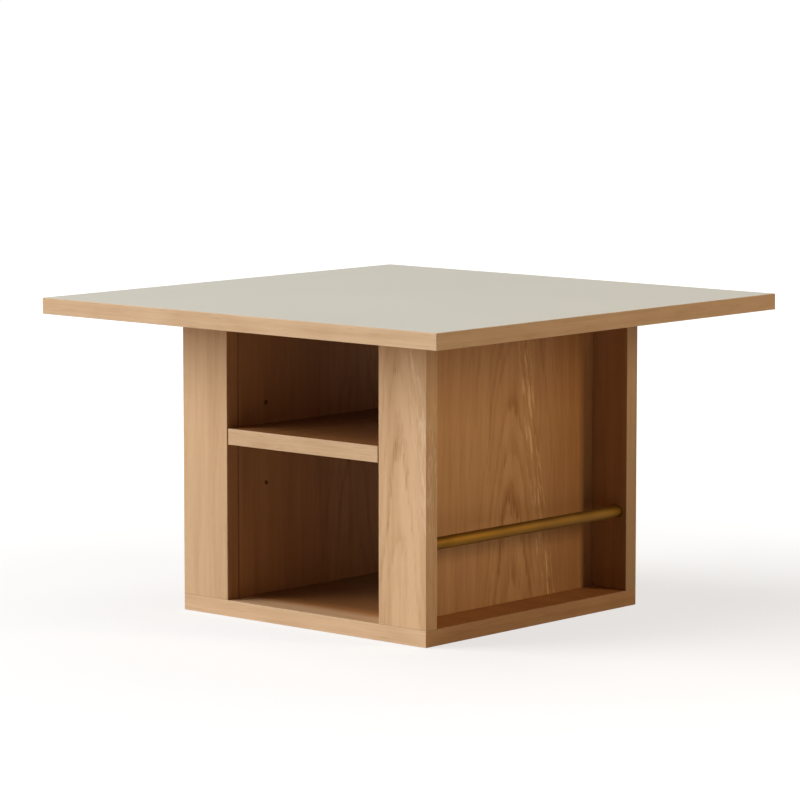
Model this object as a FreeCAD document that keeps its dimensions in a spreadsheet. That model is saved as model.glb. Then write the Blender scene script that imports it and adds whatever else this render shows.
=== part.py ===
import FreeCAD, Part
import os
import re
import Sketcher
from FreeCAD import Vector

# Low square table on a box pedestal, in millimetres, +Z up.
# The origin is on the floor under the middle of the top.
# The compartment runs through from the front (-Y) to the back (+Y).
# The recesses with the rods are in the left (-X) and right (+X) faces.

SIZES = {
    # top
    "top_width": 515,
    "top_depth": 515,
    "top_thickness": 16,
    "face_sheet": 0.8,
    "back_sheet": 0.8,
    "top_band": 1,
    # pedestal
    "pedestal_width": 320,
    "pedestal_depth": 320,
    "bottom_thickness": 16,
    "stile_height": 281,
    "stile_width": 60,
    "stile_thickness": 16,
    "partition_thickness": 16,
    "arris": 0.5,
    # shelf
    "lower_clear": 155,
    "shelf_thickness": 16,
    "shelf_setback": 0.2,
    "shelf_side_gap": 1.4,
    "shelf_seat_gap": 0.1,
    "shelf_band": 1,
    # shelf pins
    "pin_diameter": 5,
    "pin_clearance": 0.05,
    "pin_shank": 9,
    "pin_end_gap": 1,
    "pin_inset": 40,
    "pin_pitch": 40,
    "tongue_length": 9,
    "tongue_width": 8,
    "tongue_rise": 3,
    "tongue_drop": 1,
    # rods
    "rod_diameter": 12,
    "rod_clearance": 0.05,
    "rod_setback": 11,
    "rod_height": 95.5,
    "rod_entry": 9,
    "rod_end_gap": 1,
    # dowels
    "dowel_diameter": 8,
    "dowel_length": 30,
    "dowel_clearance": 0.05,
    "dowel_skin": 5,
    "dowel_end_gap": 1,
    "stile_dowel_inset": 15,
    "joint_dowel_inset": 40,
    "partition_dowel_inset": 44,
    # screws through the bottom board
    "screw_diameter": 5,
    "screw_length": 50,
    "screw_head": 10,
    "screw_point": 4,
    "screw_sink": 0.5,
    "screw_clearance": 0.05,
    "screw_end_gap": 1,
    "screw_inset": 94,
    "socket_across": 4,
    "socket_depth": 3,
    # angle brackets under the top
    "bracket_leg": 22,
    "bracket_width": 20,
    "bracket_thickness": 2,
    "bracket_bend": 1.5,
    "bracket_hole": 13,
    "bracket_inset": 94,
    # bracket screws
    "tap_diameter": 3.5,
    "tap_length": 12,
    "tap_point": 3,
    "tap_head": 7,
    "tap_head_height": 2,
    "tap_clearance": 0.05,
    "tap_end_gap": 1,
    "cross_reach": 2,
    "cross_half": 0.4,
    "cross_depth": 1.2,
}

# Places that several pieces share
CARCASE_TOP = "(bottom_thickness + stile_height)"
HALF_WIDTH = "(pedestal_width / 2)"
HALF_DEPTH = "(pedestal_depth / 2)"
HALF_OPENING = "(pedestal_width / 2 - stile_width)"
PARTITION_LENGTH = "(pedestal_depth - 2 * stile_thickness)"
SHELF_UNDERSIDE = "(bottom_thickness + lower_clear)"
PIN_AXIS = "(bottom_thickness + lower_clear - shelf_seat_gap - tongue_rise)"
DOWEL_BORE = "dowel_diameter + 2 * dowel_clearance"
SCREW_BORE = "screw_diameter + 2 * screw_clearance"
TAP_BORE = "tap_diameter + 2 * tap_clearance"

doc = FreeCAD.newDocument("LowTable")
sheet = doc.addObject("Spreadsheet::Sheet", "Sizes")
for row, (alias, value) in enumerate(SIZES.items(), start=1):
    sheet.set(f"A{row}", alias)
    sheet.set(f"B{row}", str(value))
    sheet.setAlias(f"B{row}", alias)
doc.recompute()

nodes = {}


def from_sheet(text):
    """The text with each size's name turned into a reference to its cell."""
    return re.sub(r"[a-z_]+", lambda word: f"Sizes.{word[0]}" if word[0] in SIZES else word[0], text)


def bind(thing, place, text):
    thing.setExpression(place, from_sheet(text))


def place(thing, at, axis=None, angle=0):
    """Turn a piece by a fixed angle and tie its position to the sheet."""
    if axis is not None:
        thing.Placement = FreeCAD.Placement(Vector(), FreeCAD.Rotation(axis, angle))
    for letter, text in zip("xyz", at):
        bind(thing, f"Placement.Base.{letter}", text)


def new_body(label, at, axis=None, angle=0):
    body = doc.addObject("PartDesign::Body", label)
    body.Label = label
    place(body, at, axis, angle)
    return body


def new_sketch(body, role, name, offset="0"):
    """A sketch on one of the body's own origin planes, or at an offset from it."""
    sketch = body.newObject("Sketcher::SketchObject", f"{body.Name}_{name}")
    plane = next(item for item in body.Origin.OriginFeatures if item.Role == role)
    sketch.AttachmentSupport = [(plane, "")]
    sketch.MapMode = "FlatFace"
    if offset != "0":
        bind(sketch, "AttachmentOffset.Base.z", offset)
    return sketch


def pin_down(sketch, geometry, point, at):
    """Tie one point of a sketch to the sheet; a leading minus puts it on the other side of the axis."""
    for kind, axis, text in zip(("DistanceX", "DistanceY"), (-2, -1), at):
        if text == "0":
            sketch.addConstraint(Sketcher.Constraint("PointOnObject", geometry, point, axis))
            continue
        minus = text.startswith("-")
        ends = (geometry, point, -1, 1) if minus else (-1, 1, geometry, point)
        index = sketch.addConstraint(Sketcher.Constraint(kind, *ends, 5.0))
        name = f"{kind}_{geometry}"
        sketch.renameConstraint(index, name)
        bind(sketch, f"Constraints.{name}", text[1:] if minus else text)


def draw_outline(sketch, points):
    """A closed outline through corners that the sheet places."""
    def rough(text, step):
        if text == "0":
            return 0.0
        return -5.0 - step if text.startswith("-") else 5.0 + step
    corners = [Vector(rough(u, k), rough(v, k), 0) for k, (u, v) in enumerate(points)]
    count = len(corners)
    for k in range(count):
        sketch.addGeometry(Part.LineSegment(corners[k], corners[(k + 1) % count]), False)
    for k in range(count):
        sketch.addConstraint(Sketcher.Constraint("Coincident", k, 2, (k + 1) % count, 1))
    for k, at in enumerate(points):
        pin_down(sketch, k, 1, at)


def draw_circles(sketch, points, diameter):
    for k, at in enumerate(points):
        sketch.addGeometry(Part.Circle(Vector(10.0 + 10 * k, 10, 0), Vector(0, 0, 1), 2), False)
        pin_down(sketch, k, 3, at)
        index = sketch.addConstraint(Sketcher.Constraint("Diameter", k, 4.0))
        sketch.renameConstraint(index, f"Diameter_{k}")
        bind(sketch, f"Constraints.Diameter_{k}", diameter)


def pad(body, sketch, length, reverse=False):
    feature = body.newObject("PartDesign::Pad", f"{sketch.Name}_pad")
    feature.Profile = sketch
    feature.Reversed = reverse
    bind(feature, "Length", length)
    doc.recompute()
    return feature


def pocket(body, sketch, depth, reverse=False):
    """Cut a sketch into its body, and make sure that something was cut away."""
    before = body.Shape.Volume
    feature = body.newObject("PartDesign::Pocket", f"{sketch.Name}_pocket")
    feature.Profile = sketch
    feature.Reversed = reverse
    bind(feature, "Length", depth)
    doc.recompute()
    if body.Shape.Volume > before - 1e-3:
        raise RuntimeError(f"{sketch.Name} cuts nothing from {body.Label}")
    return feature


def fillet(body, base, names, radius):
    feature = body.newObject("PartDesign::Fillet", f"{base.Name}_fillet")
    feature.Base = (base, names)
    bind(feature, "Radius", radius)
    doc.recompute()
    return feature


def edges_between(shape, low, high):
    """Names of the edges that lie wholly inside a box."""
    reach = FreeCAD.BoundBox(*low, *high)
    return [f"Edge{k}" for k, edge in enumerate(shape.Edges, start=1) if reach.isInside(edge.BoundBox)]


class Board:
    """A rectangular board; its own origin is its left, front, bottom corner."""

    def __init__(self, label, size, at):
        self.body = new_body(label, at)
        self.size = size
        self.cuts = 0
        outline = new_sketch(self.body, "XY_Plane", "outline")
        width, depth, height = size
        draw_outline(outline, [("0", "0"), (width, "0"), (width, depth), ("0", depth)])
        self.block = pad(self.body, outline, height)
        nodes[label] = self.body

    def round_all(self, radius="arris"):
        count = len(self.block.Shape.Edges)
        fillet(self.body, self.block, [f"Edge{k}" for k in range(1, count + 1)], radius)
        return self

    def round_face(self, face, radius):
        """Round the four edges of one face."""
        box = self.block.Shape.BoundBox
        low = [box.XMin, box.YMin, box.ZMin]
        high = [box.XMax, box.YMax, box.ZMax]
        index = {"left": 0, "right": 0, "front": 1, "back": 1}[face]
        if face in ("left", "front"):
            high[index] = low[index]
        else:
            low[index] = high[index]
        margin = 0.01
        names = edges_between(self.block.Shape, [v - margin for v in low], [v + margin for v in high])
        fillet(self.body, self.block, names, radius)
        return self

    def round_along_depth(self, radius="arris"):
        """Round the four edges that run from front to back."""
        depth = self.block.Shape.BoundBox.YLength
        names = [f"Edge{k}" for k, edge in enumerate(self.block.Shape.Edges, start=1)
                 if abs(edge.BoundBox.YLength - depth) < 0.01]
        fillet(self.body, self.block, names, radius)
        return self

    def drill(self, face, points, bore, depth):
        """Round holes from one face; places are measured from the board's own corner."""
        width, deep, height = self.size
        role, offset, reverse = {
            "bottom": ("XY_Plane", "0", True),
            "top": ("XY_Plane", height, False),
            "front": ("XZ_Plane", "0", False),
            "back": ("XZ_Plane", f"-({deep})", True),
            "left": ("YZ_Plane", "0", True),
            "right": ("YZ_Plane", width, False),
        }[face]
        self.cuts += 1
        sketch = new_sketch(self.body, role, f"holes_{self.cuts}", offset)
        draw_circles(sketch, points, bore)
        pocket(self.body, sketch, depth, reverse)
        return self


def group(label, pieces):
    """Identical small pieces, kept apart as solids of one node."""
    compound = doc.addObject("Part::Compound", label)
    compound.Label = label
    compound.Links = pieces
    nodes[label] = compound


def opposite(face):
    return {"left": "right", "right": "left", "front": "back", "back": "front"}[face]


def signed(side, text):
    """A distance from the middle, to the left and front as negative."""
    return f"-({text})" if side in ("left", "front") else f"({text})"


SIDES = ("left", "right")
ENDS = ("front", "back")

# Places along the pieces where dowels, screws and brackets go
STILE_DOWELS = ("stile_dowel_inset", "stile_width - stile_dowel_inset")
JOINT_DOWELS = ("joint_dowel_inset", "stile_height / 2", "stile_height - joint_dowel_inset")
FACE_REACH = {
    "top": "(top_thickness - dowel_skin - dowel_end_gap)",
    "bottom": "(bottom_thickness - dowel_skin - dowel_end_gap)",
    "stile": "(stile_thickness - dowel_skin - dowel_end_gap)",
}


def edge_bore_depth(board):
    """Depth of a dowel's hole in the end or edge that meets a board's face."""
    return f"dowel_length - {FACE_REACH[board]} + dowel_end_gap"


def from_end(end, distance):
    """Y of a place that lies a distance in from one end of the partitions."""
    return signed(end, f"pedestal_depth / 2 - stile_thickness - {distance}")


# Middles of the dowels that stand upright: two in each stile, two in each partition
UPRIGHT_DOWELS = [
    (signed(side, f"{HALF_OPENING} + ({along})"), signed(end, f"{HALF_DEPTH} - stile_thickness / 2"))
    for side in SIDES for end in ENDS for along in STILE_DOWELS
] + [
    (signed(side, f"{HALF_OPENING} + partition_thickness / 2"), from_end(end, "partition_dowel_inset"))
    for side in SIDES for end in ENDS
]


def from_corner(points, width, depth):
    """Places round the middle, measured instead from a centred board's left front corner."""
    return [(f"({width}) / 2 + {x}", f"({depth}) / 2 + {y}") for x, y in points]


# Top: core board, sheets on both faces, and a band round the edge
CORE_WIDTH = "(top_width - 2 * top_band)"
CORE_DEPTH = "(top_depth - 2 * top_band)"
TAP_X = f"{HALF_OPENING} - bracket_hole"
TOP_TAPS = [(signed(side, TAP_X), from_end(end, "bracket_inset")) for side in SIDES for end in ENDS]
top_dowel_places = from_corner(UPRIGHT_DOWELS, CORE_WIDTH, CORE_DEPTH)
top_tap_places = from_corner(TOP_TAPS, CORE_WIDTH, CORE_DEPTH)

core = Board(
    "top_core",
    (CORE_WIDTH, CORE_DEPTH, "top_thickness - face_sheet - back_sheet"),
    (f"-{CORE_WIDTH} / 2", f"-{CORE_DEPTH} / 2", f"{CARCASE_TOP} + back_sheet"),
)
core.drill("bottom", top_dowel_places, DOWEL_BORE, "top_thickness - dowel_skin - back_sheet")
core.drill("bottom", top_tap_places, TAP_BORE, "tap_length - bracket_thickness - back_sheet + tap_end_gap")

underside = Board(
    "top_back_sheet",
    (CORE_WIDTH, CORE_DEPTH, "back_sheet"),
    (f"-{CORE_WIDTH} / 2", f"-{CORE_DEPTH} / 2", CARCASE_TOP),
)
underside.drill("bottom", top_dowel_places, DOWEL_BORE, "back_sheet")
underside.drill("bottom", top_tap_places, TAP_BORE, "back_sheet")

Board(
    "top_face_sheet",
    (CORE_WIDTH, CORE_DEPTH, "face_sheet"),
    (f"-{CORE_WIDTH} / 2", f"-{CORE_DEPTH} / 2", f"{CARCASE_TOP} + top_thickness - face_sheet"),
)

BAND_ROUNDING = "min(arris; 0.6 * top_band)"
for end, y in (("front", "-top_depth / 2"), ("back", "top_depth / 2 - top_band")):
    band = Board(
        f"top_band_{end}",
        ("top_width", "top_band", "top_thickness"),
        ("-top_width / 2", y, CARCASE_TOP),
    )
    band.round_face(end, BAND_ROUNDING)
for side, x in (("left", "-top_width / 2"), ("right", "top_width / 2 - top_band")):
    band = Board(
        f"top_band_{side}",
        ("top_band", CORE_DEPTH, "top_thickness"),
        (x, f"-{CORE_DEPTH} / 2", CARCASE_TOP),
    )
    band.round_face(side, BAND_ROUNDING)

# Bottom board, with dowel holes above and countersunk screw holes below
bottom = Board(
    "bottom_board",
    ("pedestal_width", "pedestal_depth", "bottom_thickness"),
    (f"-{HALF_WIDTH}", f"-{HALF_DEPTH}", "0"),
)
bottom.round_all()
bottom.drill(
    "top",
    from_corner(UPRIGHT_DOWELS, "pedestal_width", "pedestal_depth"),
    DOWEL_BORE,
    "bottom_thickness - dowel_skin",
)
SCREW_X = f"{HALF_OPENING} + partition_thickness / 2"
BOTTOM_SCREWS = [(signed(side, SCREW_X), from_end(end, "screw_inset")) for side in SIDES for end in ENDS]
screw_centres = new_sketch(bottom.body, "XY_Plane", "screw_centres")
draw_circles(screw_centres, from_corner(BOTTOM_SCREWS, "pedestal_width", "pedestal_depth"), SCREW_BORE)
doc.recompute()
before_holes = bottom.body.Shape.Volume
screw_holes = bottom.body.newObject("PartDesign::Hole", "bottom_board_screw_holes")
screw_holes.Profile = screw_centres
screw_holes.Threaded = False
screw_holes.ThreadType = "None"
screw_holes.DepthType = "ThroughAll"
screw_holes.Reversed = True
screw_holes.HoleCutType = "Countersink"
screw_holes.HoleCutCountersinkAngle = 90
bind(screw_holes, "Diameter", SCREW_BORE)
bind(screw_holes, "HoleCutDiameter", "screw_head + 2 * screw_sink + 2 * screw_clearance")
doc.recompute()
if bottom.body.Shape.Volume > before_holes - 1e-3:
    raise RuntimeError("the bottom board has no screw holes")

# Stiles at the four corners, faces to the front and the back
for side in SIDES:
    for end in ENDS:
        stile = Board(
            f"stile_{end}_{side}",
            ("stile_width", "stile_thickness", "stile_height"),
            (
                f"-{HALF_WIDTH}" if side == "left" else HALF_OPENING,
                f"-{HALF_DEPTH}" if end == "front" else f"{HALF_DEPTH} - stile_thickness",
                "bottom_thickness",
            ),
        )
        stile.round_all()
        end_dowels = [(along, "stile_thickness / 2") for along in STILE_DOWELS]
        stile.drill("top", end_dowels, DOWEL_BORE, edge_bore_depth("top"))
        stile.drill("bottom", end_dowels, DOWEL_BORE, edge_bore_depth("bottom"))
        inner_edge = "partition_thickness / 2"
        if side == "left":
            partition_line = f"stile_width - {inner_edge}"
            rod_line = "rod_setback"
        else:
            partition_line = inner_edge
            rod_line = "stile_width - rod_setback"
        inside = opposite(end)
        joint_places = [(partition_line, up) for up in JOINT_DOWELS]
        stile.drill(inside, joint_places, DOWEL_BORE, "stile_thickness - dowel_skin")
        stile.drill(
            inside,
            [(rod_line, "rod_height - bottom_thickness")],
            "rod_diameter + 2 * rod_clearance",
            "rod_entry + rod_end_gap",
        )

# Partitions between the stiles, with the columns of pin holes in their inner faces
PIN_ROWS = [f"{PIN_AXIS} - bottom_thickness + {row} * pin_pitch" for row in (-1, 0, 1)]
PIN_COLUMNS = ("pin_inset", f"{PARTITION_LENGTH} - pin_inset")
for side in SIDES:
    outer = f"{HALF_OPENING} + partition_thickness"
    partition = Board(
        f"partition_{side}",
        ("partition_thickness", PARTITION_LENGTH, "stile_height"),
        (
            f"-({outer})" if side == "left" else HALF_OPENING,
            f"-{PARTITION_LENGTH} / 2",
            "bottom_thickness",
        ),
    )
    partition.round_all()
    inner = opposite(side)
    pin_holes = [(column, up) for column in PIN_COLUMNS for up in PIN_ROWS]
    partition.drill(inner, pin_holes, "pin_diameter + 2 * pin_clearance", "pin_shank + pin_end_gap")
    middle = "partition_thickness / 2"
    edge_dowels = [(middle, "partition_dowel_inset"), (middle, f"{PARTITION_LENGTH} - partition_dowel_inset")]
    partition.drill("top", edge_dowels, DOWEL_BORE, edge_bore_depth("top"))
    partition.drill("bottom", edge_dowels, DOWEL_BORE, edge_bore_depth("bottom"))
    joint_places = [(middle, up) for up in JOINT_DOWELS]
    for end in ENDS:
        partition.drill(end, joint_places, DOWEL_BORE, edge_bore_depth("stile"))
    screw_places = [(middle, "screw_inset"), (middle, f"{PARTITION_LENGTH} - screw_inset")]
    partition.drill(
        "bottom",
        screw_places,
        SCREW_BORE,
        "screw_sink + screw_length - bottom_thickness + screw_end_gap",
    )
    tap_height = "stile_height - bracket_hole"
    tap_places = [("bracket_inset", tap_height), (f"{PARTITION_LENGTH} - bracket_inset", tap_height)]
    partition.drill(inner, tap_places, TAP_BORE, "tap_length - bracket_thickness + tap_end_gap")

# Shelf, a loose board with a band on its front and back edges
SHELF_WIDTH = f"(2 * {HALF_OPENING} - 2 * shelf_side_gap)"
SHELF_DEPTH = "(pedestal_depth - 2 * shelf_setback)"
SHELF_CORE = f"({SHELF_DEPTH} - 2 * shelf_band)"
shelf = Board(
    "shelf_board",
    (SHELF_WIDTH, SHELF_CORE, "shelf_thickness"),
    (f"-{SHELF_WIDTH} / 2", f"-{SHELF_CORE} / 2", SHELF_UNDERSIDE),
)
shelf.round_along_depth()
for end, y in (("front", f"-{SHELF_DEPTH} / 2"), ("back", f"{SHELF_CORE} / 2")):
    band = Board(
        f"shelf_band_{end}",
        (SHELF_WIDTH, "shelf_band", "shelf_thickness"),
        (f"-{SHELF_WIDTH} / 2", y, SHELF_UNDERSIDE),
    )
    band.round_face(end, "min(arris; 0.6 * shelf_band)")

# Rods across the recesses, held in blind holes in the stiles
for side in SIDES:
    rod = doc.addObject("Part::Cylinder", f"rod_{side}")
    rod.Label = f"rod_{side}"
    bind(rod, "Radius", "rod_diameter / 2")
    bind(rod, "Height", f"{PARTITION_LENGTH} + 2 * rod_entry")
    place(
        rod,
        (
            signed(side, f"{HALF_WIDTH} - rod_setback"),
            f"-({PARTITION_LENGTH} / 2 + rod_entry)",
            "rod_height",
        ),
        Vector(1, 0, 0),
        -90,
    )
    nodes[rod.Label] = rod


# Shelf pins: a round shank in the partition and a flat tongue under the shelf
def shelf_pin(side, end):
    turn = 0 if side == "left" else 180
    half = "tongue_width / 2"
    y = from_end(end, "pin_inset")
    body = new_body(
        f"shelf_pin_{end}_{side}",
        (
            signed(side, HALF_OPENING),
            f"{y} - {half}" if side == "left" else f"{y} + {half}",
            f"{PIN_AXIS} - tongue_drop",
        ),
        Vector(0, 0, 1),
        turn,
    )
    tongue = new_sketch(body, "YZ_Plane", "tongue")
    thick = "tongue_drop + tongue_rise"
    draw_outline(tongue, [("0", "0"), ("tongue_width", "0"), ("tongue_width", thick), ("0", thick)])
    pad(body, tongue, "tongue_length")
    shank = new_sketch(body, "YZ_Plane", "shank")
    draw_circles(shank, [(half, "tongue_drop")], "pin_diameter")
    pad(body, shank, "pin_shank", reverse=True)
    return body


group("shelf_pins", [shelf_pin(side, end) for side in SIDES for end in ENDS])


# Dowels, glued into both boards of each joint
def dowel(name, at, axis=None, angle=0):
    peg = doc.addObject("Part::Cylinder", name)
    peg.Label = name
    bind(peg, "Radius", "dowel_diameter / 2")
    bind(peg, "Height", "dowel_length")
    place(peg, at, axis, angle)
    return peg


top_start = f"{CARCASE_TOP} + {FACE_REACH['top']} - dowel_length"
bottom_start = f"bottom_thickness - {FACE_REACH['bottom']}"
group("top_dowels", [dowel(f"top_dowel_{k}", (x, y, top_start)) for k, (x, y) in enumerate(UPRIGHT_DOWELS)])
group(
    "bottom_dowels",
    [dowel(f"bottom_dowel_{k}", (x, y, bottom_start)) for k, (x, y) in enumerate(UPRIGHT_DOWELS)],
)
joint_dowels = []
for side in SIDES:
    for end in ENDS:
        for k, up in enumerate(JOINT_DOWELS):
            outermost = signed(end, f"{PARTITION_LENGTH} / 2 + {FACE_REACH['stile']}")
            joint_dowels.append(dowel(
                f"stile_dowel_{end}_{side}_{k}",
                (signed(side, SCREW_X), outermost, f"bottom_thickness + {up}"),
                Vector(1, 0, 0),
                -90 if end == "front" else 90,
            ))
group("stile_dowels", joint_dowels)


# Screws up through the bottom board: countersunk head with a hexagon socket
def bottom_screw(name, at):
    body = new_body(name, (*at, "screw_sink"))
    profile = new_sketch(body, "XZ_Plane", "profile")
    draw_outline(profile, [
        ("0", "0"),
        ("screw_head / 2", "0"),
        ("screw_diameter / 2", "(screw_head - screw_diameter) / 2"),
        ("screw_diameter / 2", "screw_length - screw_point"),
        ("0", "screw_length"),
    ])
    turned = body.newObject("PartDesign::Revolution", f"{name}_turned")
    turned.Profile = profile
    turned.ReferenceAxis = (profile, ["V_Axis"])
    turned.Angle = 360
    doc.recompute()
    socket = new_sketch(body, "XY_Plane", "socket")
    corner = "socket_across / sqrt(3)"
    half_corner = "socket_across / sqrt(12)"
    flat = "socket_across / 2"
    draw_outline(socket, [
        (corner, "0"),
        (half_corner, flat),
        (f"-{half_corner}", flat),
        (f"-{corner}", "0"),
        (f"-{half_corner}", f"-{flat}"),
        (half_corner, f"-{flat}"),
    ])
    pocket(body, socket, "socket_depth", reverse=True)
    return body


group("bottom_screws", [bottom_screw(f"bottom_screw_{k}", at) for k, at in enumerate(BOTTOM_SCREWS)])


# Angle brackets in the corners between the partitions and the top
def bracket(side, end):
    half = "bracket_width / 2"
    y = from_end(end, "bracket_inset")
    body = new_body(
        f"top_bracket_{end}_{side}",
        (
            signed(side, HALF_OPENING),
            f"{y} - {half}" if side == "left" else f"{y} + {half}",
            f"{CARCASE_TOP} - bracket_leg",
        ),
        Vector(0, 0, 1),
        0 if side == "left" else 180,
    )
    profile = new_sketch(body, "XZ_Plane", "profile")
    inner = "bracket_leg - bracket_thickness"
    draw_outline(profile, [
        ("0", "0"),
        ("bracket_thickness", "0"),
        ("bracket_thickness", inner),
        ("bracket_leg", inner),
        ("bracket_leg", "bracket_leg"),
        ("0", "bracket_leg"),
    ])
    angle = pad(body, profile, "bracket_width", reverse=True)
    box = angle.Shape.BoundBox
    thick = sheet.bracket_thickness
    margin = 0.01

    def bend(base, x, z, radius):
        low = (x - margin, box.YMin - margin, z - margin)
        high = (x + margin, box.YMax + margin, z + margin)
        return fillet(body, base, edges_between(base.Shape, low, high), radius)

    inside = bend(angle, box.XMin + thick, box.ZMax - thick, "bracket_bend")
    bend(inside, box.XMin, box.ZMax, "bracket_bend + bracket_thickness")
    upper = new_sketch(body, "XY_Plane", "upper_hole", "bracket_leg")
    draw_circles(upper, [("bracket_hole", half)], TAP_BORE)
    pocket(body, upper, "bracket_thickness")
    lower = new_sketch(body, "YZ_Plane", "lower_hole")
    draw_circles(lower, [(half, "bracket_leg - bracket_hole")], TAP_BORE)
    pocket(body, lower, "bracket_thickness", reverse=True)
    return body


group("top_brackets", [bracket(side, end) for side in SIDES for end in ENDS])


# Bracket screws: flat round head with a cross recess
def bracket_screw(name, at, axis=None, angle=0):
    body = new_body(name, at, axis, angle)
    profile = new_sketch(body, "XZ_Plane", "profile")
    draw_outline(profile, [
        ("0", "0"),
        ("tap_head / 2", "0"),
        ("tap_head / 2", "tap_head_height"),
        ("tap_diameter / 2", "tap_head_height"),
        ("tap_diameter / 2", "tap_head_height + tap_length - tap_point"),
        ("0", "tap_head_height + tap_length"),
    ])
    turned = body.newObject("PartDesign::Revolution", f"{name}_turned")
    turned.Profile = profile
    turned.ReferenceAxis = (profile, ["V_Axis"])
    turned.Angle = 360
    doc.recompute()
    cross = new_sketch(body, "XY_Plane", "cross")
    reach, half = "cross_reach", "cross_half"
    draw_outline(cross, [
        (half, half),
        (reach, half),
        (reach, f"-{half}"),
        (half, f"-{half}"),
        (half, f"-{reach}"),
        (f"-{half}", f"-{reach}"),
        (f"-{half}", f"-{half}"),
        (f"-{reach}", f"-{half}"),
        (f"-{reach}", half),
        (f"-{half}", half),
        (f"-{half}", reach),
        (half, reach),
    ])
    pocket(body, cross, "cross_depth", reverse=True)
    return body


bracket_screws = []
head_below = "bracket_thickness + tap_head_height"
for side in SIDES:
    for end in ENDS:
        y = from_end(end, "bracket_inset")
        bracket_screws.append(bracket_screw(
            f"bracket_screw_up_{end}_{side}",
            (signed(side, TAP_X), y, f"{CARCASE_TOP} - ({head_below})"),
        ))
        bracket_screws.append(bracket_screw(
            f"bracket_screw_side_{end}_{side}",
            (signed(side, f"{HALF_OPENING} - ({head_below})"), y, f"{CARCASE_TOP} - bracket_hole"),
            Vector(0, 1, 0),
            -90 if side == "left" else 90,
        ))
group("bracket_screws", bracket_screws)

# Every piece is sound before anything is written
doc.recompute()
for item in doc.Objects:
    if "Invalid" in item.State or "Error" in item.State:
        raise RuntimeError(f"{item.Name} failed: {item.State}")
for label, item in nodes.items():
    if item.Shape.isNull() or not item.Shape.isValid():
        raise RuntimeError(f"{label} has no valid shape")

os.makedirs("parts", exist_ok=True)
for label, item in nodes.items():
    item.Shape.exportStep(f"parts/{label}.step")
    print(f"{label}: {len(item.Shape.Solids)} solid(s), {item.Shape.Volume:.1f} mm3")
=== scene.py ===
import math
from functools import cached_property
from typing import NamedTuple

import bmesh
import bpy
from mathutils import Matrix, Vector


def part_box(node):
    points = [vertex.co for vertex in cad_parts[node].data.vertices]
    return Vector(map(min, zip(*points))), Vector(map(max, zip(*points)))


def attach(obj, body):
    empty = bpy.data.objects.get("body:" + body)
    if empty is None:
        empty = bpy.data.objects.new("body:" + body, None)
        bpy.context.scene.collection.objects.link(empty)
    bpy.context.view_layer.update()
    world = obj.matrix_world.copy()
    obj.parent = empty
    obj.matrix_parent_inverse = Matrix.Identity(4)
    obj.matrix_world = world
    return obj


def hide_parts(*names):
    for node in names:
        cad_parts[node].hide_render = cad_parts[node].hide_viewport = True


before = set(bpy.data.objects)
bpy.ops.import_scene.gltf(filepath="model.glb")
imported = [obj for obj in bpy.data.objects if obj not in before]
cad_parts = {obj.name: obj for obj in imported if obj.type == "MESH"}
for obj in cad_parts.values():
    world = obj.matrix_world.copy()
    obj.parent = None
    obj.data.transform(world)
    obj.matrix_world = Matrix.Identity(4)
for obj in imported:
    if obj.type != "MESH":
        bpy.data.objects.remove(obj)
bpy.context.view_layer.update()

MM = 0.001
AXES = "XYZ"

# Camera, as the photograph was taken; the eye's place is in metres from the table's middle
PHOTO_PIXELS = 800
FOCAL_PIXELS = 3885.2
SENSOR_MM = 36
VIEW_TURN = math.radians(41.54)
VIEW_DROP = math.radians(6.909)
EYE_DISTANCE = 3.8372
EYE_SIDE = -0.0109
EYE_HEIGHT = 0.6736
VIEW_DEPTH = 100


class Signal:
    """An output socket; arithmetic on it adds Math nodes."""

    def __init__(self, finish, socket):
        self.finish = finish
        self.socket = socket

    def output(self, name):
        """Another output of the same node."""
        return Signal(self.finish, self.socket.node.outputs[name])

    def math(self, operation, *others):
        return self.finish.add("ShaderNodeMath", {"operation": operation}, [self, *others])

    def reflected(self, operation, other):
        return self.finish.add("ShaderNodeMath", {"operation": operation}, [other, self])

    def __add__(self, other):
        return self.math("ADD", other)

    __radd__ = __add__

    def __sub__(self, other):
        return self.math("SUBTRACT", other)

    def __rsub__(self, other):
        return self.reflected("SUBTRACT", other)

    def __mul__(self, other):
        return self.math("MULTIPLY", other)

    __rmul__ = __mul__

    def __truediv__(self, other):
        return self.math("DIVIDE", other)

    def __rtruediv__(self, other):
        return self.reflected("DIVIDE", other)

    def __pow__(self, other):
        return self.math("POWER", other)

    def __rpow__(self, other):
        return self.reflected("POWER", other)

    def __abs__(self):
        return self.math("ABSOLUTE")

    def ease(self, start, stop, low=0.0, high=1.0):
        """Smooth step from low at start to high at stop."""
        limits = {"From Min": start, "From Max": stop, "To Min": low, "To Max": high}
        settings = {"interpolation_type": "SMOOTHSTEP"}
        return self.finish.add("ShaderNodeMapRange", settings, {"Value": self, **limits})


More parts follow.
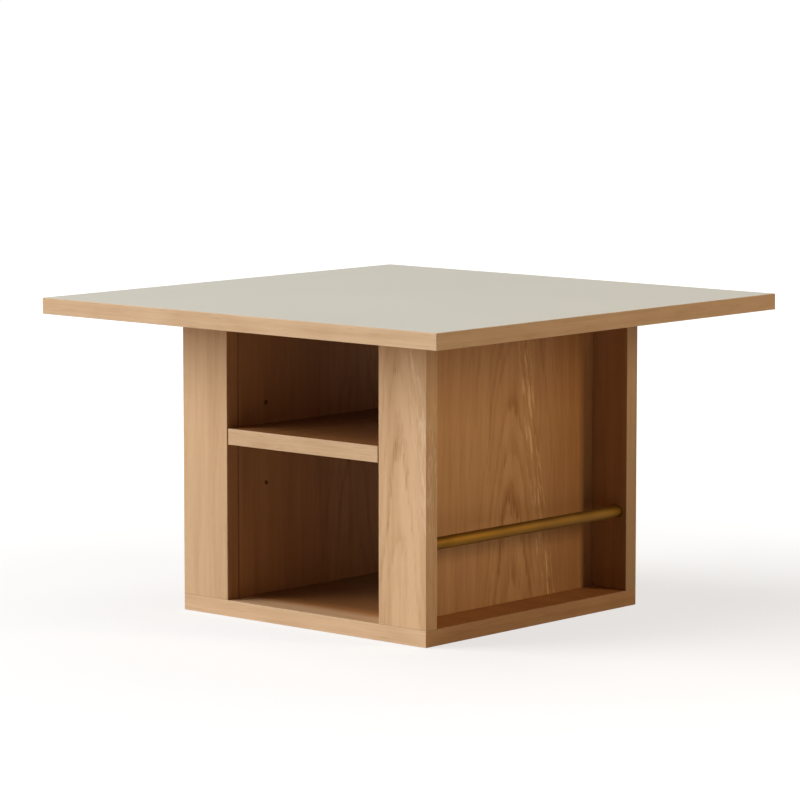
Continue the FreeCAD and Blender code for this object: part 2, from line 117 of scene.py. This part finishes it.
class Finish:
    """The nodes of a material, or of the world, in the making."""

    def __init__(self, owner):
        owner.use_nodes = True
        self.owner = owner
        self.tree = owner.node_tree
        self.tree.nodes.clear()

    def add(self, kind, settings=None, inputs=None, output=0):
        """A node: its settings first, then the values or links of its sockets."""
        node = self.tree.nodes.new(kind)
        for name, value in (settings or {}).items():
            setattr(node, name, value)
        pairs = inputs.items() if isinstance(inputs, dict) else enumerate(inputs or [])
        for key, value in pairs:
            if isinstance(value, Signal):
                self.tree.links.new(value.socket, node.inputs[key])
            else:
                node.inputs[key].default_value = value
        return Signal(self, node.outputs[output]) if node.outputs else None

    def vector(self, operation, *values):
        return self.add("ShaderNodeVectorMath", {"operation": operation}, values)

    def millimetres(self):
        """The place on the piece, in millimetres of the table's own frame."""
        place = self.add("ShaderNodeTexCoord", output="Object")
        return self.add("ShaderNodeVectorMath", {"operation": "SCALE"}, {0: place, "Scale": 1 / MM})

    def coordinates(self, place):
        """The X, Y and Z of a place."""
        x = self.add("ShaderNodeSeparateXYZ", {}, [place])
        return x, x.output("Y"), x.output("Z")

    def noise(self, place, scale, shift, detail=2.0, roughness=0.5):
        """Noise with so many cells per millimetre along each axis."""
        stretched = self.vector("MULTIPLY_ADD", place, scale, shift)
        amounts = {"Vector": stretched, "Scale": 1.0, "Detail": detail, "Roughness": roughness}
        return self.add("ShaderNodeTexNoise", {}, amounts)

    def cells(self, place, scale):
        """A grey of its own for each cell, with so many cells per millimetre."""
        colour = self.add("ShaderNodeTexVoronoi", {}, {"Vector": place, "Scale": scale}, output="Color")
        return self.add("ShaderNodeRGBToBW", {}, [colour])

    def blend(self, factor, first, second, kind="MIX"):
        """One colour turning into another."""
        settings = {"data_type": "RGBA", "blend_type": kind}
        return self.add("ShaderNodeMix", settings, {0: factor, 6: first, 7: second}, output=2)

    def edge_distance(self, place, node):
        """Millimetres from a point of a board's surface to the board's nearest edge."""
        low, high = box_in_millimetres(node)
        from_low = self.vector("SUBTRACT", place, low)
        from_high = self.vector("SUBTRACT", high, place)
        x, y, z = self.coordinates(self.vector("MINIMUM", from_low, from_high))
        return x.math("MINIMUM", y).math("MAXIMUM", x.math("MAXIMUM", y).math("MINIMUM", z))

    def surface(self, colour, roughness, height, depth, **constants):
        """The shader and its output; height runs from 0 to 1 over so many millimetres of depth."""
        relief = {"Strength": 1.0, "Distance": depth * MM, "Height": height}
        normal = self.add("ShaderNodeBump", {}, relief, output="Normal")
        inputs = {"Base Color": colour, "Roughness": roughness, "Normal": normal, **constants}
        shader = self.add("ShaderNodeBsdfPrincipled", {}, inputs)
        self.add("ShaderNodeOutputMaterial", {}, {"Surface": shader})
        return self.owner


def new_finish(name):
    return Finish(bpy.data.materials.new(name))


def box_in_millimetres(node):
    """The low and the high corner of a CAD node."""
    low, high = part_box(node)
    return low / MM, high / MM


def dress(node, material):
    """Give a CAD node one finish."""
    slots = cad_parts[node].data.materials
    slots.clear()
    slots.append(material)


# Oak under matt lacquer
OAK_PALE = (0.660, 0.450, 0.268, 1)
OAK_DARK = (0.440, 0.255, 0.122, 1)
OAK_PORE = (0.250, 0.125, 0.052, 1)
OAK_RAY = (0.740, 0.545, 0.350, 1)
OAK_WORN = (0.760, 0.560, 0.370, 1)
OAK_SILVER = (0.930, 0.745, 0.550, 1)
# Painted shade far inside the compartment, and the colour of the dark joint lines
OAK_SHADE_AND_JOINT = (0.170, 0.072, 0.022, 1)
BAND_PALE = (0.640, 0.452, 0.286, 1)
BAND_DARK = (0.427, 0.256, 0.130, 1)
MATT_LACQUER = {"Specular IOR Level": 0.15}

# Painted shade: darker, warmer colours of the inner faces, in the compartment, in the recess and on the
# shelf and floor, beside those of the show faces
INNER_SHADE_OAK = (0.77, 0.605, 0.44)
RECESS_SHADE_OAK = (0.77, 0.66, 0.52)
FLOOR_SHADE_OAK = (0.61, 0.41, 0.23)

# What is added to the noise from one board to the next, so that no two are alike
GRAIN_SHIFT = (37.0, 53.0, 71.0)

# The streak of silver rays: how it leans, its middle from the log's heart, its edges and its strength
STREAK_SLANT = 0.16
STREAK_MIDDLE = 59
STREAK_FADE = (15, 3)
STREAK_SHARE = 0.6

# Painted shade: millimetres across from the log's heart over which a board grows darker towards its plus
# side
SIDE_SHADE_REACH = (15, 75)

# Where the right-hand partition's two faces and the pedestal's open ends lie, in millimetres
PARTITION_LOW, PARTITION_HIGH = box_in_millimetres("partition_right")
COMPARTMENT_WALL = PARTITION_LOW.x
RECESS_WALL = PARTITION_HIGH.x
OPEN_END = box_in_millimetres("bottom_board")[1].y
STILE_DEPTH = OPEN_END - PARTITION_HIGH.y

# Painted shade: millimetres in from an open end between which the shelf and the floor grow darker
# further inside the compartment
DEPTH_SHADE_REACH = {"shelf_board": (0, 45), "bottom_board": (26, 60)}
DEPTH_SHADE_SHARE = 0.75

# Painted light: the same for the compartment's floor, which grows pale towards an open end, where light
# falls in
LIT_ENDS = (42, 10)
LIT_ENDS_SHARE = 0.9

# Millimetres in from a show face between which its paler tone ends and the inner faces' painted shade
# begins
SHOW_SKIN = (0.7, 1.2)

# The same for the dull tone of the bottom board's side edges
SIDE_SKIN = (0.4, 0.1)
SIDE_SHARE = 0.6

# Millimetres over which the joint lines at the partitions' ends and under the stiles grow dark
JOINT_FADE = (1.6, 0.4)
JOINT_SHARE = 0.7
FOOT_FADE = (0.9, 0.3)
FOOT_SHARE = 0.4


class Veneer(NamedTuple):
    """How a board's veneer was cut, and how it shows, with the painted shade of its inner faces."""

    along: str  # axis of the grain
    across: str  # axis across the face
    heart: float  # millimetres across from the board's middle to the log's heart
    behind: float  # millimetres from the board's middle back to the log's heart
    taper: float  # how fast the rings taper along the log
    ring: float  # width of a ring in millimetres
    bold: float  # how bold the flames are
    side_shade: float  # painted shade: how much it darkens towards its plus side
    tone: float  # how light the board is: partly its own tone, partly painted shade on the darker boards and painted light on the lighter ones
    inner: tuple  # colour of its inner faces, painted shade
    show: tuple  # its show faces, which are paler as they take none of the painted shade


VENEERS = {
    "stile_front_left": Veneer("Z", "X", 70, 45, 0.05, 6.0, 0.55, 0.0, 0.95, INNER_SHADE_OAK, ("-Y", "-X")),
    "stile_front_right": Veneer("Z", "X", -4, 22, 0.10, 6.5, 0.60, 0.0, 1.03, INNER_SHADE_OAK, ("-Y", "+X")),
    "stile_back_left": Veneer("Z", "X", 18, 30, 0.09, 6.0, 0.70, 0.0, 1.00, INNER_SHADE_OAK, ("+Y", "-X")),
    "stile_back_right": Veneer("Z", "X", -70, 45, 0.06, 6.0, 0.55, 0.0, 0.78, INNER_SHADE_OAK, ("+Y", "+X")),
    "partition_left": Veneer("Z", "Y", 30, 14, 0.11, 7.5, 0.70, 0.0, 0.87, INNER_SHADE_OAK, ()),
    "partition_right": Veneer("Z", "Y", 18, 12, 0.14, 7.0, 1.30, 0.6, 1.19, RECESS_SHADE_OAK, ()),
    "shelf_board": Veneer("Y", "X", -25, 30, 0.06, 7.0, 0.70, 0.0, 0.77, FLOOR_SHADE_OAK, ()),
    "top_back_sheet": Veneer("X", "Y", 40, 30, 0.06, 8.0, 1.00, 0.0, 1.00, INNER_SHADE_OAK, ()),
    "bottom_board": Veneer(
        "X", "Y", 60, 40, 0.05, 7.0, 0.80, 0.0, 1.10, FLOOR_SHADE_OAK, ("-X", "+X", "-Y", "+Y")
    ),
}
BANDS = (
    "shelf_band_front",
    "shelf_band_back",
    "top_band_front",
    "top_band_back",
    "top_band_left",
    "top_band_right",
)


def grain_shift(number):
    """Where in the noise a board's grain is taken from."""
    return [number * step for step in GRAIN_SHIFT]


class Board:
    """A veneered board: its finish in the making, and where a point lies on it, in millimetres."""

    def __init__(self, node, veneer, number):
        self.finish = new_finish(f"oak_{node}")
        self.node = node
        self.veneer = veneer
        self.low, self.high = box_in_millimetres(node)
        self.middle = dict(zip(AXES, (self.low + self.high) / 2))
        self.shift = grain_shift(number)
        self.place = self.finish.millimetres()
        self.at = dict(zip(AXES, self.finish.coordinates(self.place)))
        self.along = self.at[veneer.along]
        self.across = self.at[veneer.across] - (self.middle[veneer.across] + veneer.heart)

    @cached_property
    def within(self):
        """One inside the compartment, fading out through its walls."""
        return abs(self.at["X"]).ease(RECESS_WALL, COMPARTMENT_WALL)

    @cached_property
    def from_end(self):
        """Millimetres in from the pedestal's open front or back."""
        return OPEN_END - abs(self.at["Y"])

    def grain(self, along, across, detail=2.0, roughness=0.5, place=None):
        """Noise with so many cells per millimetre along the grain and across it."""
        scale = [along if axis == self.veneer.along else across for axis in AXES]
        return self.finish.noise(place or self.place, scale, self.shift, detail, roughness)

    def depth(self):
        """Millimetres from the log's heart through the board."""
        face = (self.veneer.along, self.veneer.across)
        through = next(axis for axis in AXES if axis not in face)
        return self.at[through] - (self.middle[through] - self.veneer.behind)

    def inner_share(self):
        """One on the inner faces, nothing on the show faces."""
        share = 1.0
        for side, axis in self.veneer.show:
            face = (self.high if side == "+" else self.low)[AXES.index(axis)]
            share = share * abs(self.at[axis] - face).ease(*SHOW_SKIN)
        return share


def early_wood(board, fibres):
    """The rings' porous early wood, which runs up the face in flames."""
    veneer = board.veneer
    bends = (board.grain(0.006, 0.012) - 0.5) * 24
    ripples = (board.grain(0.020, 0.05) - 0.5) * 3
    swayed = board.across + bends + ripples
    depth = board.depth()
    radius = (swayed * swayed + depth * depth) ** 0.5 + board.along * veneer.taper
    in_a_row = {"noise_dimensions": "1D"}
    years = {"W": radius * 0.06, "Scale": 1.0, "Detail": 1.0}
    uneven = board.finish.add("ShaderNodeTexNoise", in_a_row, years)
    ring = radius / veneer.ring + uneven * 2.0 + (fibres - 0.5) * 0.9
    phase = ring.math("FRACT")
    strength = board.finish.add("ShaderNodeTexWhiteNoise", in_a_row, {"W": ring.math("FLOOR")})
    off_crown = abs(swayed)
    broken = board.grain(0.02, 0.07).ease(0.40, 0.58)
    crown = off_crown.ease(70, 12, 0.2, 1.0) + off_crown.ease(16, 4) * broken
    return phase.ease(0.0, 0.06) * phase.ease(0.62, 0.12) * (0.15 + 0.85 * strength * strength) * crown


def silver_streak(board):
    """Silver rays in a slanting streak beside the flames."""
    slant = [STREAK_SLANT if axis == board.veneer.across else 0.0 for axis in AXES]
    slanted = board.finish.vector("MULTIPLY_ADD", board.along, slant, board.place)
    rays = board.grain(0.030, 0.26, 3.0, 0.65, slanted).ease(0.49, 0.66) * board.veneer.bold
    off_middle = abs(board.across + board.along * STREAK_SLANT - STREAK_MIDDLE)
    return rays * off_middle.ease(*STREAK_FADE)


def veneer_figure(board, flame, clouds, dashes):
    """Colour of the veneer's face: streaks and flames, then rays, then open pores."""
    finish = board.finish
    streaks = board.grain(0.0040, 0.09, 3.0, 0.6)
    tone = 0.20 + (streaks - 0.5) * 1.4 + (clouds - 0.5) * 1.0 + flame * 0.75
    # Painted shade: the right partition darkens towards its plus side, beside the back stile.
    if board.veneer.side_shade:
        tone = tone + board.across.ease(*SIDE_SHADE_REACH) * board.veneer.side_shade
    wood = finish.blend(tone, OAK_PALE, OAK_DARK)
    rays = board.grain(0.011, 0.40).ease(0.63, 0.76) * 0.35
    rayed = finish.blend(rays, wood, OAK_RAY)
    silvered = finish.blend(silver_streak(board) * STREAK_SHARE, rayed, OAK_SILVER)
    return finish.blend(dashes * 0.45, silvered, OAK_PORE)


def band_figure(finish, place, shift):
    """Colour and relief of a thin oak edge band, its grain along the edge."""
    streaks = finish.noise(place, (0.005, 0.005, 0.22), shift, 3.0, 0.6)
    fibres = finish.noise(place, (0.035, 0.035, 1.3), shift, 2.0)
    mottle = finish.noise(place, (0.018, 0.018, 0.05), shift, 2.0)
    tone = 0.22 + (streaks - 0.5) * 0.9 + (mottle - 0.5) * 0.7
    wood = finish.blend(tone, BAND_PALE, BAND_DARK)
    dashes = fibres.ease(0.58, 0.72)
    return finish.blend(dashes * 0.25, wood, OAK_PORE), dashes


def banded_edges(board, figure, inner):
    """The bottom board's banded edges, dull at its sides, and its floor, paler at the open ends as
    painted light.
    """
    band, _ = band_figure(board.finish, board.place, board.shift)
    banded = board.finish.blend(inner, band, figure)
    # Painted light: near the open ends the floor takes less of the inner faces' painted shade.
    floor = inner * (1 - LIT_ENDS_SHARE * board.within * board.from_end.ease(*LIT_ENDS))
    side_start, side_stop = (board.high.x - depth for depth in SIDE_SKIN)
    side = abs(board.at["X"]).ease(side_start, side_stop)
    return banded, floor.math("MAXIMUM", side * SIDE_SHARE)


def toned(board, figure, inner):
    """The figure in the tones of the show faces and of the inner faces' painted shade, with painted
    shade deepening inwards and with its joint lines.
    """
    finish = board.finish
    veneer = board.veneer
    paler = [veneer.tone] * 3
    # The inner faces take a darker, warmer colour: painted shade.
    inner_shade_tone = [level * veneer.tone for level in veneer.inner]
    shown = finish.blend(1.0, figure, finish.blend(inner, (*paler, 1), (*inner_shade_tone, 1)), "MULTIPLY")
    # Painted shade: the shelf and the floor darken towards the middle of the compartment.
    if board.node in DEPTH_SHADE_REACH:
        deep_shade = board.within * board.from_end.ease(*DEPTH_SHADE_REACH[board.node])
        shown = finish.blend(deep_shade * DEPTH_SHADE_SHARE, shown, OAK_SHADE_AND_JOINT)
    if board.node.startswith(("stile", "partition")):
        joint = board.within * abs(board.from_end - STILE_DEPTH).ease(*JOINT_FADE)
        shown = finish.blend(joint * JOINT_SHARE, shown, OAK_SHADE_AND_JOINT)
    return shown


def oak(node, veneer, number):
    """Oak veneer under matt lacquer: rings that run up into flames, pores, rays and streaks, with
    painted shade on the inner faces and far inside the compartment.
    """
    board = Board(node, veneer, number)
    finish = board.finish
    fibres = board.grain(0.030, 0.85)
    clouds = board.grain(0.0018, 0.024)
    early = early_wood(board, fibres)
    flame = early * fibres.ease(0.34, 0.62, 0.25, 1.0) * veneer.bold
    dashes = board.grain(0.075, 2.2).ease(0.54, 0.68) * (0.25 + 0.75 * early)
    figure = veneer_figure(board, flame, clouds, dashes)
    inner = board.inner_share()
    if node == "bottom_board":
        figure, inner = banded_edges(board, figure, inner)
    # Along the arrises the show faces turn paler with wear, and the inner faces turn darker: dark joint
    # lines and painted shade in the corners.
    edge = finish.edge_distance(board.place, node).ease(1.0, 0.2) * (0.2 + 0.4 * clouds)
    rubbed = finish.blend(inner, OAK_WORN, OAK_PORE)
    colour = finish.blend(edge, toned(board, figure, inner), rubbed)
    if node.startswith("stile"):
        foot = (board.at["Z"] - board.low.z).ease(*FOOT_FADE)
        colour = finish.blend(foot * FOOT_SHARE, colour, OAK_PORE)
    roughness = 0.52 + 0.10 * early + 0.16 * dashes - 0.08 * edge
    height = 1.0 - 0.75 * dashes - 0.25 * flame
    return finish.surface(colour, roughness, height, 0.06, **MATT_LACQUER)


def oak_band(node, number):
    """Oak edge band, rubbed paler along its arrises."""
    finish = new_finish(f"oak_{node}")
    place = finish.millimetres()
    figure, dashes = band_figure(finish, place, grain_shift(number))
    edge = finish.edge_distance(place, node).ease(0.8, 0.1) * 0.35
    rubbed = finish.blend(edge, figure, OAK_WORN)
    roughness = 0.52 + 0.16 * dashes - 0.10 * edge
    return finish.surface(rubbed, roughness, 1.0 - dashes, 0.05, **MATT_LACQUER)


# Laminate, chipboard, metal and beech
GREIGE_DARK = (0.656, 0.652, 0.588, 1)
GREIGE_PALE = (0.744, 0.740, 0.676, 1)
GREIGE_RUBBED = (0.78, 0.77, 0.71, 1)
SATIN = {"Specular IOR Level": 0.20}
CHIP_DARK = (0.36, 0.24, 0.13, 1)
CHIP_PALE = (0.62, 0.46, 0.29, 1)
BRASS = (0.190, 0.087, 0.0088, 1)
BRASS_TARNISHED = (0.142, 0.063, 0.0064, 1)
NICKEL = (0.68, 0.65, 0.60, 1)
NICKEL_DULL = (0.48, 0.46, 0.42, 1)
ZINC = (0.66, 0.67, 0.69, 1)
ZINC_DULL = (0.46, 0.47, 0.49, 1)
BEECH_DARK = (0.60, 0.40, 0.23, 1)
BEECH_PALE = (0.72, 0.53, 0.34, 1)
BEECH_FLECK = (0.40, 0.23, 0.11, 1)


def greige_laminate(node):
    """Plain satin laminate with a fine pearl in its surface."""
    finish = new_finish("greige_laminate")
    place = finish.millimetres()
    pearl = finish.noise(place, (2.2, 2.2, 2.2), (11, 5, 3), 3.0, 0.6)
    clouds = finish.noise(place, (0.006, 0.006, 0.006), (2, 9, 4))
    edge = finish.edge_distance(place, node).ease(2.0, 0.0)
    tone = (clouds - 0.5) * 0.5 + (pearl - 0.5) * 0.35 + 0.5
    colour = finish.blend(tone, GREIGE_DARK, GREIGE_PALE)
    rubbed = finish.blend(edge * 0.25, colour, GREIGE_RUBBED)
    roughness = 0.66 + 0.12 * pearl + 0.06 * clouds
    return finish.surface(rubbed, roughness, pearl, 0.02, **SATIN)


def chipboard():
    """Raw particle board."""
    finish = new_finish("chipboard")
    place = finish.millimetres()
    chips = finish.cells(place, 0.35)
    fibre = finish.noise(place, (0.8, 1.6, 1.6), (4, 8, 15), 3.0)
    colour = finish.blend(chips * 0.7 + fibre * 0.3, CHIP_DARK, CHIP_PALE)
    return finish.surface(colour, 0.75 + 0.1 * fibre, chips, 0.15)


def brass():
    """Brushed brass that has darkened with age."""
    finish = new_finish("brass_rod")
    place = finish.millimetres()
    brushing = finish.noise(place, (9.0, 0.05, 9.0), (3, 1, 7), 3.0, 0.65)
    tarnish = finish.noise(place, (0.06, 0.02, 0.06), (6, 2, 8), 3.0)
    colour = finish.blend(tarnish.ease(0.35, 0.75), BRASS, BRASS_TARNISHED)
    roughness = 0.48 + 0.14 * brushing + 0.10 * tarnish
    return finish.surface(colour, roughness, brushing, 0.01, Metallic=1.0)


def plated_steel(name, bright, dull):
    """Plated steel, faintly spangled."""
    finish = new_finish(name)
    place = finish.millimetres()
    spangle = finish.cells(place, 0.6)
    scratches = finish.noise(place, (0.4, 4.0, 4.0), (7, 3, 2), 3.0)
    colour = finish.blend(spangle * 0.6 + scratches * 0.4, dull, bright)
    return finish.surface(colour, 0.28 + 0.2 * scratches, scratches, 0.008, Metallic=1.0)


def beech():
    """Plain turned beech with short dark flecks."""
    finish = new_finish("beech_dowel")
    place = finish.millimetres()
    flecks = finish.noise(place, (1.5, 1.5, 0.3), (5, 6, 1)).ease(0.58, 0.70)
    fibre = finish.noise(place, (0.8, 0.8, 0.05), (1, 2, 3), 3.0)
    wood = finish.blend(fibre, BEECH_DARK, BEECH_PALE)
    colour = finish.blend(flecks * 0.4, wood, BEECH_FLECK)
    return finish.surface(colour, 0.65 + 0.1 * flecks, fibre, 0.05)


for number, (node, veneer) in enumerate(VENEERS.items(), start=1):
    dress(node, oak(node, veneer, number))
for number, node in enumerate(BANDS, start=len(VENEERS) + 1):
    dress(node, oak_band(node, number))
dress("top_face_sheet", greige_laminate("top_face_sheet"))
dress("top_core", chipboard())
dowel_beech = beech()
for node in ("top_dowels", "bottom_dowels", "stile_dowels"):
    dress(node, dowel_beech)
dress("shelf_pins", plated_steel("nickel_steel", NICKEL, NICKEL_DULL))
zinc = plated_steel("zinc_steel", ZINC, ZINC_DULL)
for node in ("top_brackets", "bracket_screws", "bottom_screws"):
    dress(node, zinc)


# Brass rods
ROD_SIDES = 72
ROD_EASING = 0.6 * MM
ROD_EASING_STEPS = 3


def finished_piece(name, shape, material):
    """A mesh object from a bmesh, with its finish."""
    mesh = bpy.data.meshes.new(name)
    shape.to_mesh(mesh)
    shape.free()
    mesh.materials.append(material)
    piece = bpy.data.objects.new(name, mesh)
    bpy.context.scene.collection.objects.link(piece)
    return piece


def rod_piece(node, material):
    """A smooth round bar along Y in place of the CAD rod, with its end arrises eased."""
    low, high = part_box(node)
    middle = (low + high) / 2
    shape = bmesh.new()
    bmesh.ops.create_circle(shape, cap_ends=True, segments=ROD_SIDES, radius=(high.x - low.x) / 2)
    swept = bmesh.ops.extrude_face_region(shape, geom=shape.faces[:])
    far_end = [item for item in swept["geom"] if isinstance(item, bmesh.types.BMVert)]
    bmesh.ops.translate(shape, verts=far_end, vec=(0, 0, high.y - low.y))
    rims = [edge for edge in shape.edges if abs(edge.verts[0].co.z - edge.verts[1].co.z) < MM]
    bmesh.ops.bevel(
        shape,
        geom=rims,
        offset=ROD_EASING,
        segments=ROD_EASING_STEPS,
        profile=0.5,
        affect="EDGES",
        material=-1,
    )
    lie_down = Matrix.Rotation(math.radians(-90), 3, "X")
    bmesh.ops.rotate(shape, verts=shape.verts, cent=(0, 0, 0), matrix=lie_down)
    bmesh.ops.translate(shape, verts=shape.verts, vec=(middle.x, low.y, middle.z))
    bmesh.ops.recalc_face_normals(shape, faces=shape.faces)
    for face in shape.faces:
        face.smooth = len(face.verts) == 4
    piece = finished_piece(f"brass_{node}", shape, material)
    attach(piece, "table")
    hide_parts(node)


rod_brass = brass()
for node in ("rod_left", "rod_right"):
    rod_piece(node, rod_brass)


# Studio: a pale floor and five soft lamps
STUDIO_WHITE = (1.0, 0.98, 0.95)
STUDIO_WARM = (1.0, 0.75, 0.45)
LAMPS_AIM = Vector((0, 0, 0.16))
WORLD_LIGHT = 0.02
FLOOR_DARK = (0.60, 0.51, 0.42, 1)
FLOOR_PALE = (0.64, 0.55, 0.46, 1)
FLOOR_SEEN = (0.35, 0.35, 0.35, 1)
FLOOR_REACH = 30
FLOOR_GAP = 0.2 * MM

# Metres from the table's middle between which the floor grows plain white, and its own glow there
WHITENING = (0.35, 1.3)
GLOW = (0.70, 1.0)


def seen_directly(finish):
    """One for the camera, and for what metal or glass shows."""
    path = finish.add("ShaderNodeLightPath", output="Is Camera Ray")
    glossy = path.output("Is Glossy Ray")
    return path.math("MAXIMUM", glossy).math("MAXIMUM", path.output("Is Transmission Ray"))


def studio_floor():
    """Pale floor: it takes the table's shadow, and is plain white further out."""
    finish = new_finish("pale_floor")
    place = finish.add("ShaderNodeTexCoord", output="Object")
    mottle = finish.add("ShaderNodeTexNoise", {}, {"Vector": place, "Scale": 3.0, "Detail": 3.0})
    paint = finish.blend(mottle, FLOOR_DARK, FLOOR_PALE)
    dull = finish.add("ShaderNodeBsdfDiffuse", {}, {"Color": paint})
    shaded = finish.add("ShaderNodeBsdfDiffuse", {}, {"Color": FLOOR_SEEN})
    distance = finish.add("ShaderNodeVectorMath", {"operation": "LENGTH"}, [place], output="Value")
    glow = finish.add("ShaderNodeEmission", {}, {"Color": distance.ease(*WHITENING, *GLOW)})
    white = finish.add("ShaderNodeAddShader", {}, [shaded, glow])
    shader = finish.add("ShaderNodeMixShader", {}, [seen_directly(finish), dull, white])
    finish.add("ShaderNodeOutputMaterial", {}, {"Surface": shader})
    shape = bmesh.new()
    bmesh.ops.create_grid(shape, x_segments=1, y_segments=1, size=FLOOR_REACH)
    bmesh.ops.translate(shape, verts=shape.verts, vec=(0, 0, -FLOOR_GAP))
    finished_piece("studio_floor", shape, finish.owner)


def soft_light(name, place, size, power, colour=STUDIO_WHITE):
    """A rectangular lamp turned towards the middle of the table."""
    lamp = bpy.data.lights.new(name, "AREA")
    lamp.shape = "RECTANGLE"
    lamp.size, lamp.size_y = size
    lamp.energy = power
    lamp.color = colour
    piece = bpy.data.objects.new(name, lamp)
    piece.location = place
    piece.rotation_euler = (LAMPS_AIM - piece.location).to_track_quat("-Z", "Y").to_euler()
    bpy.context.scene.collection.objects.link(piece)


def studio_world():
    """Next to no light of its own; white where the camera or metal looks past the floor."""
    sky = Finish(bpy.data.worlds.new("studio_world"))
    dim = sky.add("ShaderNodeBackground", {}, {"Color": (1, 1, 1, 1), "Strength": WORLD_LIGHT})
    white = sky.add("ShaderNodeBackground", {}, {"Color": (1, 1, 1, 1), "Strength": 1.0})
    shader = sky.add("ShaderNodeMixShader", {}, [seen_directly(sky), dim, white])
    sky.add("ShaderNodeOutputWorld", {}, {"Surface": shader})
    bpy.context.scene.world = sky.owner


def photo_camera():
    """The camera, where the photograph was taken from."""
    away = Vector((-math.sin(VIEW_TURN), math.cos(VIEW_TURN), 0))
    right = Vector((math.cos(VIEW_TURN), math.sin(VIEW_TURN), 0))
    up = Vector((0, 0, 1))
    lens = bpy.data.cameras.new("photo_camera")
    lens.sensor_width = SENSOR_MM
    lens.lens = FOCAL_PIXELS / PHOTO_PIXELS * SENSOR_MM
    lens.clip_end = VIEW_DEPTH
    piece = bpy.data.objects.new("photo_camera", lens)
    piece.location = right * EYE_SIDE - away * EYE_DISTANCE + up * EYE_HEIGHT
    gaze = away * math.cos(VIEW_DROP) - up * math.sin(VIEW_DROP)
    piece.rotation_euler = gaze.to_track_quat("-Z", "Y").to_euler()
    bpy.context.scene.collection.objects.link(piece)
    bpy.context.scene.camera = piece


studio_floor()
soft_light("key", place=(-7.20, -8.16, 2.77), size=(10.9, 3.7), power=795)
soft_light("raised", place=(-5.31, -4.45, 4.16), size=(5.4, 2.9), power=394)
soft_light("overhead", place=(-0.24, -0.42, 2.92), size=(1.6, 1.6), power=22)
soft_light("fill", place=(2.55, 1.05, 1.15), size=(0.5, 1.3), power=26.5, colour=STUDIO_WARM)
soft_light("behind", place=(-1.40, 4.50, 0.20), size=(2.2, 0.36), power=48)
studio_world()
photo_camera()
bpy.context.scene.view_settings.view_transform = "Standard"
